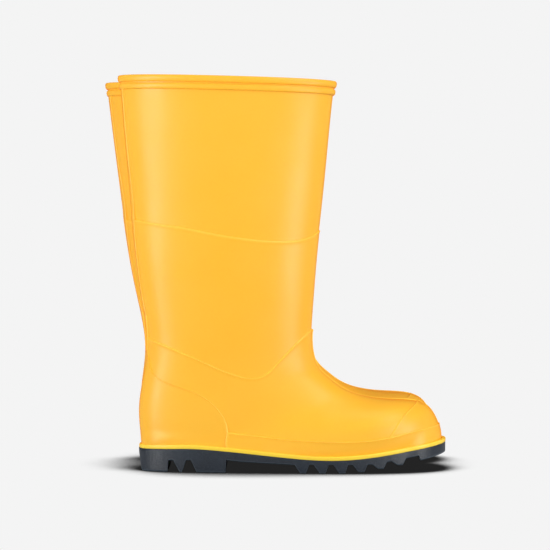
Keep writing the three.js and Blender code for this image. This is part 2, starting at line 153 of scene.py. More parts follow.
# Seams in the side view, as points on smooth curves.
LEG_SEAM = [
    (-14, 219.5), (11.4, 214.2), (41, 209.7), (76, 203), (105, 199.2),
    (126, 198.3), (141, 199.6), (151, 203.2), (158, 208.9), (166, 218.2),
]
ANKLE_SEAM = [
    (4, 116.5), (28, 107.2), (52, 96.8), (72, 87.8), (88, 82.1),
    (98, 80.3), (106, 81.2), (113.5, 86), (122, 95.2), (139, 112.6), (160, 131),
]
STAY_SEAM = [
    (-13.8, 347), (-10.8, 300.3), (-7.3, 265.5), (-3.6, 233.7), (0.1, 186), (4.6, 151.2), (8.6, 133.4),
]
COUNTER_SEAM = [
    (8.6, 133.4), (9.8, 116), (10.2, 98), (14, 84.2), (22.8, 77.4), (34.5, 73.3),
    (50, 68), (61.7, 61.6), (71, 52.3), (77, 42.6), (78.8, 32), (78.8, 20),
]
FOXING_SEAM = [
    (74, 34.9), (98.4, 32.1), (134.7, 28.2), (164, 26.9),
    (188.4, 27.2), (210, 29.1), (243, 35.8), (270, 39.8),
]
TOE_SEAM = [(252, 66), (242, 58.8), (230.5, 50), (223, 41.4), (218.5, 34), (213, 24)]
SOLE_TOP = [
    (-12, 18.4), (26, 19.4), (51, 19.6), (81, 17.4), (119.5, 13.6),
    (149.5, 11.1), (174, 10.8), (198.5, 12.7), (229, 17.2), (275, 25.7),
]

# The outsole's underside in the side view.
HEEL_BACK = [(0, 19.2), (3.2, 1.6), (4.6, 0)]
HEEL_NOTCHES = [(26.2, 27.1, 31.4, 36.8, 10), (38.7, 42.3, 46.6, 51.5, 10.4)]  # foot, roof, foot, height
ARCH = [(76.2, 0), (76.9, 10.8), (88.6, 9.5), (112, 8.2), (134, 7.2)]
LUG_FIRST, LUG_PITCH, LUG_COUNT = 142.5, 16.6, 6
LUG_TIP, LUG_BACK, LUG_FRONT = 4.8, 7.4, 5.2  # tip width, and the root's reach back and forward
LUG_ROOT, WEB = 7.4, 5.4  # least height of the tread between the lugs, most rubber left above it
SPRING_FROM, SPRING_SLOPE, SPRING_BEND = 184.0, 0.135, 0.0006
TOE_BLOCK = (241.7, 243.2, 255, 275)

# Fineness and small moulded detail.
ANGLES = np.linspace(0, 2 * math.pi, 220, endpoint=False)  # the points round the leg
ROW_STEP = 2.0  # length of a panel's faces along the leg or foot
EDGE_STEPS = (0.0, 0.06, 0.18, 0.36, 0.6, 0.85, 1.1, 1.4, 1.8, 2.4)  # rows next to a visible edge
EDGE_LIP = 0.4  # how far a visible edge's lip stands above its panel
LIP_HALF = 0.8  # the lip's half width
HIGHLIGHT_HALF = 1.1  # the half width of the painted highlight along it
# How strong the painted highlight along each panel's visible edges is. A ring is a panel that runs right
# round the boot.
PAINTED_EDGE_LIGHT = {"ring": 0.55, "back_stay": 0.25, "heel_counter": 1.25, "foxing": 0.6, "toe_cap": 0.4}
RIDGE_HEIGHT = 0.9  # the moulding line down the middle of the vamp
RIDGE_HALF = 0.8
HEEL_FLARE = 1.9  # how far the heel counter spreads towards the welt
FLARE_TOP, FLARE_FOOT = 13.0, 4.0  # heights above the welt between which it does
FLARE_ALONG = (3.0, 15.0, 20.0, 60.0)  # x between which it grows, and between which it fades
COUNTER_OUT = 1.55  # how far the heel counter stands out below its top
COUNTER_SETTLE = 30.0  # it starts level with the stay and reaches COUNTER_OUT over this height
COUNTER_OVER, COUNTER_LAP = 0.05, 0.5  # how far it lies over the stay's lower end, outwards and up
STAY_SINK = 0.55  # how much flatter the stay lies on the leg than on the ankle panel
STAY_SINK_FROM, STAY_SINK_OVER = 216.0, 14.0  # height where that starts, and the length it takes
SIDE_STEPS = np.array([0.0, 0.06, 0.25, 0.5, 0.75, 1.0])  # rings up the outsole's side, as shares
BOTTOM_RINGS, TOP_RINGS = 9, 5


# ---- Curves ----


def smooth_curve(points, count):
    """Points on the Catmull-Rom curve through the given points."""
    p = np.array([points[0], *points, points[-1]], float)
    s = np.linspace(0, len(points) - 1, count)
    i = np.minimum(s.astype(int), len(points) - 2)
    t = (s - i)[:, None]
    a, b, c, d = p[i], p[i + 1], p[i + 2], p[i + 3]
    return 0.5 * (2 * b + (c - a) * t + (2 * a - 5 * b + 4 * c - d) * t**2 + (3 * b - a - 3 * c + d) * t**3)


def natural_spline(values):
    """A function of u in 0..n-1 that runs through the rows of values with no jump in curvature."""
    n = len(values)
    matrix = np.eye(n)
    right = np.zeros_like(values)
    for i in range(1, n - 1):
        matrix[i, i - 1 : i + 2] = (1, 4, 1)
        right[i] = 6 * (values[i - 1] - 2 * values[i] + values[i + 1])
    bend = np.linalg.solve(matrix, right)

    def at(u):
        i = np.clip(np.floor(u).astype(int), 0, n - 2)
        t = (u - i)[..., None]
        s = 1 - t
        curve = bend[i] * (s**3 - s) / 6 + bend[i + 1] * (t**3 - t) / 6
        return values[i] * s + values[i + 1] * t + curve

    return at


SOLE_TOP_CURVE = smooth_curve(SOLE_TOP, 160)


def sole_top(x):
    """Height of the outsole's top."""
    return np.interp(x, SOLE_TOP_CURVE[:, 0], SOLE_TOP_CURVE[:, 1])


def rim_height(x):
    """Height of the leg's rim."""
    return RIM_BACK + RIM_SLOPE * (x - RIM_BACK_X)


# ---- One boot's surface ----


class Boot:
    """side is -1 for the right boot and 1 for the left; lean is how far its rim leans back."""

    def __init__(self, name, side, lean):
        self.name, self.side, self.lean = name, side, lean
        low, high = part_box(f"{name}_shank")
        self.origin = np.array([low.x - SHANK_START * MM, (low.y + high.y) / 2, 0])
        slices = SLICES.copy()
        slices[:, 0:2] = self.leaned(slices[:, 0:2])
        slices[:, 2:4] = self.leaned(slices[:, 2:4])
        self.slice_at = natural_spline(slices)
        self.last = len(slices) - 1.0

    def leaned(self, points):
        """Side-view points moved back with the leg's lean."""
        points = np.array(points, float)
        start = LEAN_FROM + LEAN_RISE * points[:, 0]
        share = np.clip((points[:, 1] - start) / (RIM_BACK - start), 0, 1.2)
        points[:, 0] -= self.lean * share**LEAN_CURVE
        return points

    def to_frame(self, points):
        """The boot's own millimetres as metres in the frame."""
        return np.asarray(points) * MM + self.origin

    def point(self, u, angle, offset=0.0):
        """Surface points, in millimetres, for slice u and the angle round it from the front."""
        u, angle, offset = np.broadcast_arrays(u, angle, offset)
        s = self.slice_at(u)
        front, back, half, widest, shift = s[..., 0:2], s[..., 2:4], s[..., 4], s[..., 5], s[..., 6]
        c, y = np.cos(angle), np.sin(angle)
        blunt = np.where(c > 0, s[..., 7], s[..., 8])
        r = (np.abs(c) ** blunt + np.abs(y) ** blunt) ** (-1 / blunt)
        along = front - back
        length = np.linalg.norm(along, axis=-1)
        reach = np.where(c > 0, 1 - widest, widest) * length + offset
        forward = (widest * length + reach * r * c) / length
        side_view = back + along * forward[..., None]
        across = -self.side * shift + (half + offset) * r * y
        return np.stack([side_view[..., 0], across, side_view[..., 1]], axis=-1)

    def find(self, points):
        """The slices that pass through side-view points, as u and the slices' own values."""
        x, z = np.array(points, float).T
        low, high = np.zeros(len(x)), np.full(len(x), self.last)
        for _ in range(40):
            middle = (low + high) / 2
            s = self.slice_at(middle)
            turn = (s[:, 0] - s[:, 2]) * (z - s[:, 3]) - (s[:, 1] - s[:, 3]) * (x - s[:, 2])
            low = np.where(turn < 0, middle, low)
            high = np.where(turn < 0, high, middle)
        return low, self.slice_at(low)

    def locate(self, points, offset=0.0):
        """u, angle, half breadth and sideways shift of side-view points. Outside the outline the
        angle is nan."""
        x, z = np.array(points, float).T
        u, s = self.find(points)
        along = s[:, 0:2] - s[:, 2:4]
        length = np.linalg.norm(along, axis=1)
        forward = ((x - s[:, 2]) * along[:, 0] + (z - s[:, 3]) * along[:, 1]) / length - s[:, 5] * length
        reach = np.where(forward > 0, 1 - s[:, 5], s[:, 5]) * length + offset
        blunt = np.where(forward > 0, s[:, 7], s[:, 8])
        share = forward / reach
        inside = np.abs(share) < 1
        across = np.where(inside, 1 - np.minimum(np.abs(share), 1) ** blunt, np.nan) ** (1 / blunt)
        return u, np.arctan2(across, share), (s[:, 4] + offset) * across, -self.side * s[:, 6]

    def seam(self, points, offset=0.0, count=400):
        """(u, angle) along the part of a side-view seam that lies on the boot, from +y's side."""
        u, angle, _, _ = self.locate(self.leaned(smooth_curve(points, count)), offset)
        on = ~np.isnan(angle)
        return np.stack([u[on], angle[on]], axis=1)

    def seam_round(self, points, offset=0.0):
        """A seam that runs right round the boot, as u for any angle."""
        line = self.seam(points, offset)
        order = np.argsort(line[:, 1])
        line = line[order]

        def at(angle):
            from_front = math.pi - np.abs(angle % (2 * math.pi) - math.pi)
            return np.interp(from_front, line[:, 1], line[:, 0])

        return at


# ---- Meshes ----


def grid_faces(rows, cols, closed):
    """Quads of a grid of points, numbered row by row. A closed one joins its last column to its first."""
    r, c = np.meshgrid(np.arange(rows - 1), np.arange(cols if closed else cols - 1), indexing="ij")
    nxt = (c + 1) % cols
    corners = [r * cols + c, (r + 1) * cols + c, (r + 1) * cols + nxt, r * cols + nxt]
    return np.stack(corners, axis=-1).reshape(-1, 4)


def place_piece(piece, boot, part):
    """Hides the CAD node a piece stands for, and ties the piece to its body if it has one."""
    slot, body = PIECES[part]
    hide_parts(f"{boot.name}_{part}")
    if body:
        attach(piece, f"{boot.name}_boot_{body}")
    else:
        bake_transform(piece)


def make_piece(boot, part, points, faces, pale=None):
    """A piece of the boot with its faces turned outwards and every edge sharper than 35 degrees kept
    crisp. pale says how far its first points are drawn paler (a painted highlight along the upper's seams,
    paler lower edges on the sole), for the material to find."""
    name = f"{boot.name}_{part}"
    vertices = boot.to_frame(points)
    a, b, c = (vertices[[face[i] for face in faces]] for i in range(3))
    if np.sum(a * np.cross(b - a, c - a)) < 0:
        faces = [face[::-1] for face in faces]
    mesh = bpy.data.meshes.new(name)
    mesh.from_pydata(vertices.tolist(), [], [[int(i) for i in f] for f in faces])
    mesh.validate()
    mesh.shade_smooth()
    mesh.set_sharp_from_angle(angle=math.radians(35))
    if pale is not None:
        values = np.zeros(len(vertices))
        values[: pale.size] = pale.ravel()
        mesh.attributes.new("pale", "FLOAT", "POINT").data.foreach_set("value", values)
    mesh.materials.append(materials[PIECES[part][0]])
    piece = bpy.data.objects.new(name, mesh)
    bpy.context.scene.collection.objects.link(piece)
    place_piece(piece, boot, part)


def thick_sheet(boot, part, outer, inner, closed, pale=None):
    """A closed shell between two grids of points, both [rows, columns, 3]."""
    rows, cols = outer.shape[:2]
    count = rows * cols
    faces = [grid_faces(rows, cols, closed)]
    faces.append(faces[0][:, ::-1] + count)
    edge = np.arange(cols)
    nxt = (edge + 1) % cols if closed else edge[1:]
    edge = edge if closed else edge[:-1]
    first_row = np.stack([edge, nxt, nxt + count, edge + count], axis=1)
    faces += [first_row, first_row[:, ::-1] + (rows - 1) * cols]
    if not closed:
        side = np.arange(rows - 1) * cols
        first_column = np.stack([side, side + count, side + cols + count, side + cols], axis=1)
        faces += [first_column, first_column[:, ::-1] + cols - 1]
    points = np.concatenate([outer.reshape(-1, 3), inner.reshape(-1, 3)])
    make_piece(boot, part, points, np.concatenate(faces), pale)


def rows_between(length):
    """How many rows a panel takes away from its ends."""
    return max(2, int(np.median(length) / ROW_STEP)) - 1


def row_places(length, first_edge, last_edge, between):
    """Places along lines of the given lengths: at their ends, closer together where those show, and
    between them."""
    start = np.array(EDGE_STEPS if first_edge else (0.0,))
    end = np.array(EDGE_STEPS if last_edge else (0.0,))[::-1]
    shares = np.linspace(0, 1, between + 2)[1:-1]
    length = np.atleast_1d(length)
    parts = [
        np.outer(start, np.ones_like(length)),
        start[-1] + np.outer(shares, length - start[-1] - end[0]),
        length[None] - end[:, None],
    ]
    return np.concatenate(parts)


def edge_lift(distance):
    """0 at a visible edge, rising round a quarter circle to 1."""
    q = np.clip(distance / EDGE_ROUND, 0, 1)
    return np.sqrt(1 - (1 - q) ** 2)


def edge_lip(distance):
    """The small moulded lip along a visible edge, 1 on its crest."""
    return np.exp(-(((distance - EDGE_ROUND) / LIP_HALF) ** 2)) * edge_lift(distance)


def painted_edge_highlight(distance):
    """How strong the painted highlight is along a visible edge, from the edge itself to past its lip."""
    return np.exp(-(((distance - EDGE_ROUND / 2) / HIGHLIGHT_HALF) ** 2))


def path_length(points):
    """Length of the paths that run down a grid of points."""
    return np.linalg.norm(np.diff(points, axis=0), axis=-1).sum(axis=0)


def ring_panel(boot, part, upper, lower, out, under, ridge=0.0):
    """A panel right round the boot between u = upper(angle) and u = lower(angle). Its upper edge
    shows, and rises from under to out above the plain leg. Its lower edge is hidden."""
    angle = ANGLES
    if ridge:
        near_front = np.radians(np.arange(-3.0, 3.01, 0.25)) % (2 * math.pi)
        angle = np.unique(np.concatenate([angle, near_front]))
    top, bottom = upper(angle), lower(angle)
    steps = np.linspace(0, 1, 60)[:, None]
    length = path_length(boot.point(top + (bottom - top) * steps, angle[None], out))
    place = row_places(length, True, False, rows_between(length))
    u = top + (bottom - top) * place / length
    lift = under + (out - under) * edge_lift(place)
    # pale is a painted highlight along the visible edge, and along the ridge's crest.
    pale = np.zeros_like(place)
    if out > under:
        lift += EDGE_LIP * edge_lip(place)
        pale = PAINTED_EDGE_LIGHT["ring"] * painted_edge_highlight(place)
    if ridge:
        across = boot.point(u, angle[None])[..., 1] - boot.point(u, 0.0)[..., 1]
        forward = np.cos(angle)[None] > 0
        crest = np.where(forward, np.exp(-((across / RIDGE_HALF) ** 2)), 0) * edge_lift(place)
        lift += ridge * crest
        # The ridge's crest gets a painted highlight too.
        pale = np.maximum(pale, crest**0.4)
    outer = boot.point(u, angle[None], lift)
    back = boot.point(u, angle[None], -WALL)
    thick_sheet(boot, part, outer, back, True, pale)


def as_curve(line):
    """A function of 0..1 along a line of (u, angle) points."""
    step = np.concatenate([[0], np.cumsum(np.linalg.norm(np.diff(line, axis=0), axis=1))])
    place = step / step[-1]

    def at(t):
        return np.stack([np.interp(t, place, line[:, i]) for i in range(2)], axis=-1)

    return at


def mirrored(line, centre):
    """A line that runs up to the boot's middle, angle centre, and on down its other side."""
    middle = np.array([[line[-1, 0], centre]])
    other = np.stack([line[::-1, 0], 2 * centre - line[::-1, 1]], axis=1)
    return np.concatenate([line, middle, other])


def patch(boot, part, outline, lift_at, shows):
    """An open panel inside four lines of (u, angle) points: top, bottom, left and right. shows says
    which of its top, left and right edges are seen, and lift_at gives, for points of the plain boot,
    what the panel lies on and how far it stands out."""
    top, bottom, left, right = (as_curve(line) for line in outline)

    def spread(a, v):
        a, v = a[..., None], v[..., None]
        edges = (1 - a) * left(v[..., 0]) + a * right(v[..., 0])
        edges += (1 - v) * top(a[..., 0]) + v * bottom(a[..., 0])
        corners = (1 - a) * (1 - v) * top(0.0) + a * (1 - v) * top(1.0)
        corners += (1 - a) * v * bottom(0.0) + a * v * bottom(1.0)
        return edges - corners

    steps = np.linspace(0, 1, 60)
    a, v = np.meshgrid(steps, steps)
    rough = boot.point(spread(a, v)[..., 0], spread(a, v)[..., 1])
    down = path_length(rough)
    across = path_length(rough.swapaxes(0, 1))
    rows, cols = rows_between(down), rows_between(across)
    row_count = len(row_places(down, shows[0], False, rows))
    col_count = len(row_places(across, shows[1], shows[2], cols))
    a, v = np.meshgrid(np.linspace(0, 1, col_count), np.linspace(0, 1, row_count))
    for _ in range(2):
        down_here = np.interp(a[row_count // 2], steps, down)
        across_here = np.interp(v[:, col_count // 2], steps, across)
        far_down = row_places(down_here, shows[0], False, rows)
        far_across = row_places(across_here, shows[1], shows[2], cols).T
        v, a = far_down / down_here, far_across / across_here[:, None]
    far_from = np.full(a.shape, np.inf)
    for shown, distance in zip(shows, (far_down, far_across, across_here[:, None] - far_across)):
        if shown:
            far_from = np.minimum(far_from, distance)
    where = spread(a, v)
    base = boot.point(where[..., 0], where[..., 1])
    under, out = lift_at(base)
    lift = under + (out - under) * edge_lift(far_from) + EDGE_LIP * edge_lip(far_from)
    outer = boot.point(where[..., 0], where[..., 1], lift)
    inner = boot.point(where[..., 0], where[..., 1], under - PANEL_BED)
    # Its visible edges get a painted highlight through pale.
    thick_sheet(boot, part, outer, inner, False, PAINTED_EDGE_LIGHT[part] * painted_edge_highlight(far_from))


def looped_sheet(boot, part, rings):
    """A closed solid from [rings, around, 3] points, joined both ways round."""
    rows, cols = rings.shape[:2]
    faces = grid_faces(rows, cols, True)
    last = (rows - 1) * cols
    edge = np.arange(cols)
    nxt = (edge + 1) % cols
    wrap = np.stack([edge + last, edge, nxt, nxt + last], axis=1)
    make_piece(boot, part, rings.reshape(-1, 3), np.concatenate([faces, wrap]))


def capped_rings(boot, part, rings, pale):
    """A solid from [rings, around, 3] points, closed by a face at each end. pale is as in make_piece."""
    rows, cols = rings.shape[:2]
    faces = [tuple(f) for f in grid_faces(rows, cols, True)]
    faces.append(tuple(range(cols)))
    faces.append(tuple(range(rows * cols - 1, (rows - 1) * cols - 1, -1)))
    make_piece(boot, part, rings.reshape(-1, 3), faces, pale)


# ---- The upper ----


def lowered(points, drop):
    """A side-view line moved down."""
    return [(x, z - drop) for x, z in points]


def rim_line(boot, drop):
    """The line round the leg that runs below the rim."""
    return boot.seam_round([(x, rim_height(x) - drop) for x in (-40.0, 200.0)])


def upper_lines(boot):
    """The seams and edges of one boot's upper, as (u, angle) lines and functions of angle."""
    foot = lowered(SOLE_TOP, FOOT_TUCK - WELT_HEIGHT)
    return {
        "leg": boot.seam_round(LEG_SEAM),
        "leg_hidden": boot.seam_round(lowered(LEG_SEAM, TUCK)),
        "ankle": boot.seam_round(ANKLE_SEAM),
        "ankle_hidden": boot.seam_round(lowered(ANKLE_SEAM, TUCK)),
        "foot": boot.seam_round(foot),
        "foot_line": boot.seam(foot),
    }


def make_rings(boot, lines):
    """The three panels that run right round: leg, ankle panel and vamp, each laid over the last."""
    leg, ankle, vamp = (STAND_OUT[part] for part in ("leg", "ankle_panel", "vamp"))
    ring_panel(boot, "leg", rim_line(boot, RIM_TUCK), lines["leg_hidden"], leg, leg)
    ring_panel(boot, "ankle_panel", lines["leg"], lines["ankle_hidden"], ankle, leg)
    ring_panel(boot, "vamp", lines["ankle"], lines["foot"], vamp, ankle, RIDGE_HEIGHT)


def other_side(line, centre):
    """A line of (u, angle) points, mirrored to the boot's other side."""
    return np.stack([line[:, 0], 2 * centre - line[:, 1]], axis=1)


def side_view(boot, line):
    """x and z of (u, angle) points."""
    return boot.point(line[:, 0], line[:, 1])[:, [0, 2]].T


def eased(share):
    """share kept to 0..1, with a gentle start and end."""
    share = np.clip(share, 0, 1)
    return share**2 * (3 - 2 * share)


def stay_lift(base):
    """The stay's underside and outside. It lies flatter on the leg than on the ankle panel."""
    out = STAND_OUT["back_stay"] - STAY_SINK * eased((base[..., 2] - STAY_SINK_FROM) / STAY_SINK_OVER)
    return out - BACK_THICK, out


def counter_lift(base):
    """The counter's underside and outside. It starts level with the stay, and spreads near the welt."""
    x, z = base[..., 0], base[..., 2]
    above = z - sole_top(x) - WELT_HEIGHT
    flare = HEEL_FLARE * eased((FLARE_TOP - above) / (FLARE_TOP - FLARE_FOOT))
    flare *= np.interp(x, FLARE_ALONG, (0, 1, 1, 0))
    start = STAND_OUT["back_stay"] + COUNTER_OVER
    out = start + (COUNTER_OUT - start) * np.clip((COUNTER_TOP - z) / COUNTER_SETTLE, 0, 1)
    return out - BACK_THICK, out + flare


def across_back(point):
    """A level line round the back, from a seam to its mirror image."""
    return mirrored(np.array([point, (point[0], math.pi)]), math.pi)


def make_back(boot, lines):
    """The back stay and the heel counter, which lie over the leg, ankle panel and vamp."""
    seam = np.concatenate([boot.seam(STAY_SEAM), boot.seam(COUNTER_SEAM)])
    heights = side_view(boot, seam)[1]
    stay = seam[(heights < RIM_BACK - STAY_TOP_DROP) & (heights > COUNTER_TOP)]
    outline = (across_back(stay[0]), across_back(stay[-1]), stay, other_side(stay, math.pi))
    patch(boot, "back_stay", outline, stay_lift, (False, True, True))

    counter = seam[heights <= COUNTER_TOP + COUNTER_LAP]
    counter_x, counter_z = side_view(boot, counter)
    counter = counter[counter_z > sole_top(counter_x) + WELT_HEIGHT - FOOT_TUCK]
    foot = lines["foot_line"]
    heel = foot[side_view(boot, foot)[0] < counter_x.max() - 0.5]
    heel_edge = np.concatenate([counter[-1:], heel[::-1]])
    top, bottom = across_back(counter[0]), mirrored(heel_edge, math.pi)
    outline = (top, bottom, counter, other_side(counter, math.pi))
    patch(boot, "heel_counter", outline, counter_lift, (False, True, True))


def even_lift(under, out):
    """A lift for panels that stand out the same all over."""
    return lambda base: (under, np.full(base.shape[:-1], out))


def make_foxing(boot, lines):
    """The low band round the foot, from one end of the heel counter to the other."""
    top, foot = boot.seam(FOXING_SEAM), lines["foot_line"]
    top = top[side_view(boot, top)[0] > FOXING_START]
    bottom = foot[side_view(boot, foot)[0] > FOXING_START]
    end = np.array([top[0], bottom[0]])
    outline = (mirrored(top, 0.0), mirrored(bottom, 0.0), end, other_side(end, 0.0))
    lift = even_lift(STAND_OUT["vamp"], STAND_OUT["foxing"])
    patch(boot, "foxing", outline, lift, (True, True, True))


def make_toe_cap(boot, lines):
    """The cap over the toes. Its lower edge is hidden by the foxing."""
    seam = boot.seam(TOE_SEAM)
    seam = seam[side_view(boot, seam)[1] > TOE_SEAM_FOOT][::-1]
    angle = np.concatenate([seam[:, 1], [0.0]])
    foot = np.stack([lines["foot"](angle), angle], axis=1)
    end = np.array([seam[0], foot[0]])
    outline = (mirrored(seam, 0.0), mirrored(foot[:-1], 0.0), end, other_side(end, 0.0))
    lift = even_lift(STAND_OUT["vamp"] - TOE_SINK, STAND_OUT["toe_cap"])
    patch(boot, "toe_cap", outline, lift, (True, False, False))


def bead(out, middle, half):
    """One bead of the binding's cross-section, as (distance out, drop) points."""
    turns = np.linspace(-math.pi / 2, math.pi / 2, 11)
    foot = 0.4
    return [(foot + (out - foot) * math.cos(t) ** 0.7, middle + half * math.sin(t)) for t in turns]


def binding_profile():
    """The rim's cross-section as (distance out from the leg, drop below the rim)."""
    top = [(-WALL, 1.6), (-WALL + 0.4, 0.6), (-WALL + 1.2, 0.1), (-WALL + 2.0, 0.0)]
    return [*top, *bead(*BEADS[0]), *bead(*BEADS[1]), (-WALL, BINDING_DEPTH)]


def make_binding(boot):
    """The double bead round the leg's opening."""
    rings = [boot.point(rim_line(boot, drop)(ANGLES), ANGLES, out) for out, drop in binding_profile()]
    looped_sheet(boot, "top_binding", np.array(rings))


def make_lining(boot, lines):
    """The knitted sock, from the binding's inner edge down to the insole board."""
    top, bottom = rim_line(boot, LINING_DROP)(ANGLES), lines["foot"](ANGLES)
    u = top + (bottom - top) * np.linspace(0, 1, LINING_ROWS)[:, None]
    outer = boot.point(u, ANGLES[None], -WALL - LINING_GAP)
    inner = boot.point(u, ANGLES[None], -WALL - LINING_GAP - LINING_THICK)
    inner[0, :, 2] -= 0.5  # turns its top edge inwards
    thick_sheet(boot, "lining", outer, inner, True)


# ---- The bottom ----


def plan_outline(boot, offset, lift, count=120):
    """x, and the boot's two sides y there, along the line lifted above the outsole's top."""
    x = np.arange(SOLE_TOP[0][0], SOLE_TOP[-1][0], 0.1)
    on = ~np.isnan(boot.locate(np.stack([x, sole_top(x) + lift], axis=1), offset)[1])
    back, front = x[on][0], x[on][-1]
    x = back + (front - back) * (1 - np.cos(np.linspace(0, math.pi, count))) / 2
    _, _, half, shift = boot.locate(np.stack([x, sole_top(x) + lift], axis=1), offset)
    half = np.nan_to_num(half)
    right, left = np.stack([x, shift - half], axis=1), np.stack([x, shift + half], axis=1)
    return np.concatenate([right, left[-2:0:-1]])


def outward(outline):
    """The directions square to an outline, out from its inside."""
    ahead = np.roll(outline, -1, axis=0) - np.roll(outline, 1, axis=0)
    normal = np.stack([ahead[:, 1], -ahead[:, 0]], axis=1)
    return normal / np.linalg.norm(normal, axis=1, keepdims=True)


def along_foot(ends, x):
    """A size that changes evenly from the heel to the toe."""
    return ends[0] + (ends[1] - ends[0]) * x / FOOT_LENGTH


def make_welt(boot):
    """The bright bead between the upper and the outsole."""
    outline = plan_outline(boot, STAND_OUT["foxing"], PLAN_LIFT)
    normal = outward(outline)
    out = along_foot(WELT_OUT, outline[:, 0])
    turn = np.linspace(-math.pi / 2, math.pi / 2, 9)
    half = WELT_HEIGHT / 2
    face = [(WELT_ROUND * (math.cos(t) ** 0.6 - 1), half * math.sin(t)) for t in turn]
    rings = []
    for inward, height in [(-WELT_DEPTH, -half), *face, (-WELT_DEPTH, half)]:
        place = outline + normal * (out + inward)[:, None]
        z = sole_top(outline[:, 0]) + half + WELT_CLEAR + height
        rings.append(np.column_stack([place, z]))
    looped_sheet(boot, "welt", np.array(rings))


def tread_lift(x):
    """How far the toe's spring lifts the tread off the floor."""
    run = max(0.0, x - SPRING_FROM)
    return SPRING_SLOPE * run + SPRING_BEND * run**2


def lug_root(x):
    """A point on the tread between two lugs."""
    return (x, max(LUG_ROOT, float(sole_top(x)) - WEB))


def tread_profile():
    """The outsole's underside from heel to toe in the side view."""
    line = list(HEEL_BACK)
    for left, roof_left, roof_right, right, depth in HEEL_NOTCHES:
        line += [(left, 0), (roof_left, depth), (roof_right, depth), (right, 0)]
    line += ARCH
    for i in range(LUG_COUNT):
        middle = LUG_FIRST + i * LUG_PITCH
        tip = tread_lift(middle)
        line += [lug_root(middle - LUG_BACK), (middle - LUG_TIP / 2, tip)]
        line += [(middle + LUG_TIP / 2, tip), lug_root(middle + LUG_FRONT)]
    line += [lug_root(TOE_BLOCK[0])] + [(x, tread_lift(x)) for x in TOE_BLOCK[1:]]
    return line


def rounded_corners(line, radius):
    """The line with each corner swapped for a short curve."""
    line = np.array(line, float)
    points = [line[0]]
    for before, corner, after in zip(line[:-2], line[1:-1], line[2:]):
        back, ahead = before - corner, after - corner
        reach = min(radius, 0.45 * np.linalg.norm(back), 0.45 * np.linalg.norm(ahead))
        start = corner + back / np.linalg.norm(back) * reach
        end = corner + ahead / np.linalg.norm(ahead) * reach
        for t in (0, 0.25, 0.5, 0.75, 1):
            points.append(start * (1 - t) ** 2 + corner * 2 * t * (1 - t) + end * t**2)
    points.append(line[-1])
    return np.array(points)


def slab(boot, part, outline, low, high, corner):
    """A solid inside a plan outline, between the side-view line low and the height high(x), with
    rounded lower side edges, which are marked to be drawn paler. It has a ring at each point of low."""
    half = len(outline) // 2 + 1
    right, left = outline[:half], np.concatenate([outline[half - 1 :], outline[:1]])[::-1]
    heel, toe = right[0, 0], right[-1, 0]
    x = np.unique(np.round(np.concatenate([right[:, 0], np.arange(heel + 1, toe, 2.5), low[:, 0]]), 2))
    x = x[(x > heel + 0.02) & (x < toe - 0.02)]
    z_low, z_high = np.interp(x, low[:, 0], low[:, 1]), high(x)
    y_right, y_left = np.interp(x, *right.T), np.interp(x, *left.T)
    width = y_left - y_right
    inset = np.minimum(corner, width * 0.3)
    bend = np.minimum(corner, (z_high - z_low) * 0.3)
    chamfer = 0.3
    side = [(0.0, z_low + bend + (z_high - z_low - bend - chamfer) * share) for share in SIDE_STEPS]
    lower = [(inset * (1 - turn), z_low + bend * turn**2) for turn in (0.35, 0.75)]
    wall = lower + side
    bottom = [y_right + inset + (width - 2 * inset) * share for share in np.linspace(0, 1, BOTTOM_RINGS)]
    top = [y_left - chamfer - (width - 2 * chamfer) * share for share in np.linspace(0, 1, TOP_RINGS)]
    rings = [(y, z_low) for y in bottom]
    rings += [(y_left - inward, z) for inward, z in wall]
    rings += [(y, z_high) for y in top]
    rings += [(y_right + inward, z) for inward, z in wall[::-1]]
    points = np.stack([np.stack([x, y, z], axis=1) for y, z in rings], axis=1)
    paler_edges = np.zeros(len(rings))
    paler_edges[BOTTOM_RINGS : BOTTOM_RINGS + 3] = 1
    paler_edges[-3:] = 1
    capped_rings(boot, part, points, np.tile(paler_edges, len(x)))


def make_outsole(boot):
    """The lugged outsole, a little inside the welt's edge at the toe and past it at the heel."""
    outline = plan_outline(boot, STAND_OUT["foxing"], PLAN_LIFT)
    x = outline[:, 0]
    out = along_foot(WELT_OUT, x) - along_foot(SOLE_INSET, x)
    outline = outline + outward(outline) * out[:, None]
    low = rounded_corners(tread_profile(), TREAD_ROUND)
    slab(boot, "outsole", outline, low, lambda x: sole_top(x) + SOLE_JOIN, SOLE_ROUND)


def make_insole(boot):
    """The loose footbed inside the lining."""
    outline = plan_outline(boot, -WALL - INSOLE_GAP, INSOLE_PLAN)
    x = np.linspace(SOLE_TOP[0][0], SOLE_TOP[-1][0], 200)
    low = np.stack([x, sole_top(x) + INSOLE_FOOT], axis=1)
    slab(boot, "insole", outline, low, lambda x: sole_top(x) + INSOLE_TOP, INSOLE_ROUND)


# ---- Materials ----


def node(tree, kind, inputs=None, **settings):
    """Adds a shader node. inputs maps its input names to values or to other nodes' outputs."""
    made = tree.nodes.new("ShaderNode" + kind)
    for name, value in settings.items():
        setattr(made, name, value)
    for name, value in (inputs or {}).items():
        if isinstance(value, bpy.types.NodeSocket):
            tree.links.new(value, made.inputs[name])
        else:
            made.inputs[name].default_value = value
    return made


def new_material(name):
    """An empty node material, and the place of the shaded point in metres."""
    material = bpy.data.materials.new(name)
    material.use_nodes = True
    tree = material.node_tree
    tree.nodes.clear()
    return material, tree, node(tree, "TexCoord").outputs["Object"]


def finish_material(tree, **inputs):
    """The surface shader. Its inputs' names are given with _ for each space."""
    inputs = {name.replace("_", " "): value for name, value in inputs.items()}
    shader = node(tree, "BsdfPrincipled", inputs)
    node(tree, "OutputMaterial", {"Surface": shader.outputs["BSDF"]})


